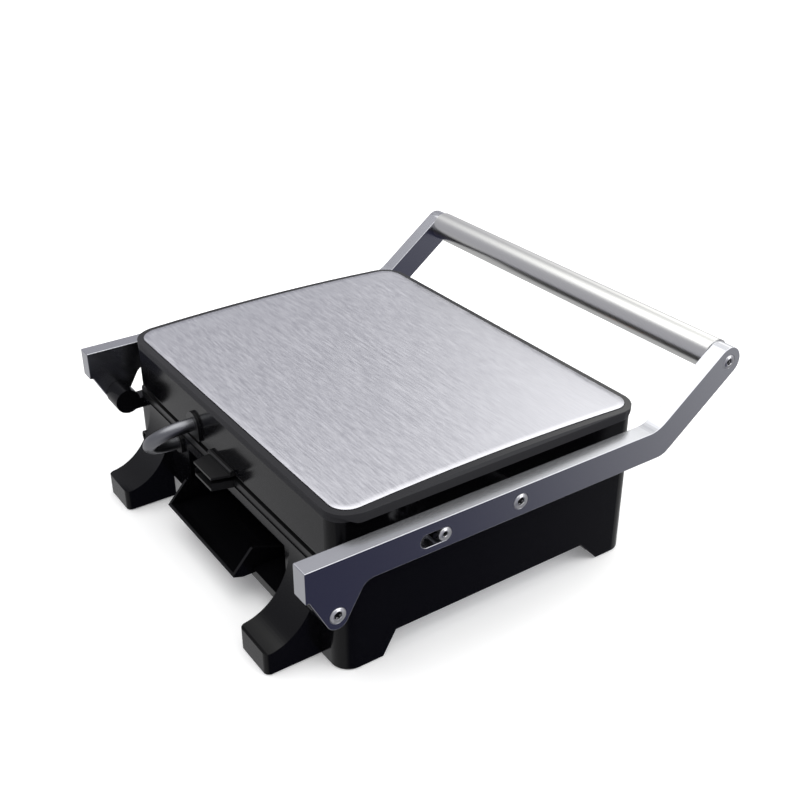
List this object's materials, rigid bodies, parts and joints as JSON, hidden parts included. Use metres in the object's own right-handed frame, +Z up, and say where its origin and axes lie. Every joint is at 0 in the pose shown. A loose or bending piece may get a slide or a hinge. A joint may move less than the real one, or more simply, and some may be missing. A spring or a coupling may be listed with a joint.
{
  "type": "panini press",
  "caption": "Flat contact grill: heated base, floating heated lid between two swinging arms with a tube handle, rear legs and a drip tray.",
  "frame": {"origin": "on the table, under the middle of the machine's bounding box", "axes": "+X to the right seen from the handle side, +Y towards the hinge and the drip tray, +Z up"},
  "size_m": [0.3258, 0.3382, 0.1433],
  "materials": {
    "housing_plastic": "glossy black moulded plastic",
    "leg_plastic": "glossy black moulded plastic",
    "brushed_steel": "brushed stainless steel",
    "arm_aluminium": "brushed anodised aluminium bar",
    "polished_steel": "polished steel",
    "screw_steel": "bright plated steel",
    "cast_plate": "cast aluminium with a dark non-stick coating",
    "element_sheath": "dull steel sheath of the heating element",
    "reflector_sheet": "bright aluminium sheet",
    "cover_sheet": "galvanised steel sheet",
    "conduit_hose": "satin metal-look sleeve",
    "rubber": "black rubber",
    "blade_steel": "blackened spring steel",
    "phenolic": "pale heat-resistant moulding",
    "amber_lens": "clear amber plastic"
  },
  "bodies": {
    "base": {"base_housing": "housing_plastic", "bottom_cover": "cover_sheet", "tray_housing": "housing_plastic", "lower_grill_plate": "cast_plate", "lower_heating_element": "element_sheath", "lower_reflector": "reflector_sheet", "rear_leg_left": "leg_plastic", "rear_leg_right": "leg_plastic", "hinge_bracket_left": "housing_plastic", "hinge_bracket_right": "housing_plastic", "hinge_screws": "screw_steel", "foot_pads": "rubber", "thermostat": "phenolic", "thermal_fuse": "reflector_sheet", "terminal_block": "phenolic", "indicator_lenses": "amber_lens", "cord_gland": "rubber", "base_grommet": "rubber", "bottom_cover_screws": "screw_steel", "power_conduit": "conduit_hose"},
    "arms": {"arm_left": "arm_aluminium", "arm_right": "arm_aluminium", "handle_tube": "polished_steel", "handle_collars": "polished_steel", "handle_screws": "screw_steel"},
    "lid": {"lid_frame": "housing_plastic", "lid_cover": "brushed_steel", "upper_grill_plate": "cast_plate", "upper_heating_element": "element_sheath", "upper_reflector": "reflector_sheet", "float_screws": "screw_steel", "float_spacers": "screw_steel", "lid_grommet": "rubber"},
    "float_lock": {"lock_slider": "screw_steel", "lock_blade": "blade_steel"},
    "drip_tray": {"drip_tray": "housing_plastic"}
  },
  "joints": [
    {"name": "arms_hinge", "type": "hinge", "parent": "base", "child": "arms", "pos_m": [0, 0.1435, 0.0629], "axis": [-1, 0, 0], "range_deg": [0, 170], "deforming": ["power_conduit"]},
    {"name": "lid_float", "type": "hinge", "parent": "arms", "child": "lid", "pos_m": [0, 0.01535, 0.0892], "axis": [1, 0, 0], "range_deg": [-1.1, 1.1]},
    {"name": "lock_slide", "type": "slide", "parent": "arms", "child": "float_lock", "axis": [0, 1, 0], "range_m": [0, 0.0095]},
    {"name": "tray_slide", "type": "slide", "parent": "base", "child": "drip_tray", "axis": [0, 1, 0], "range_m": [0, 0.009]}
  ]
}
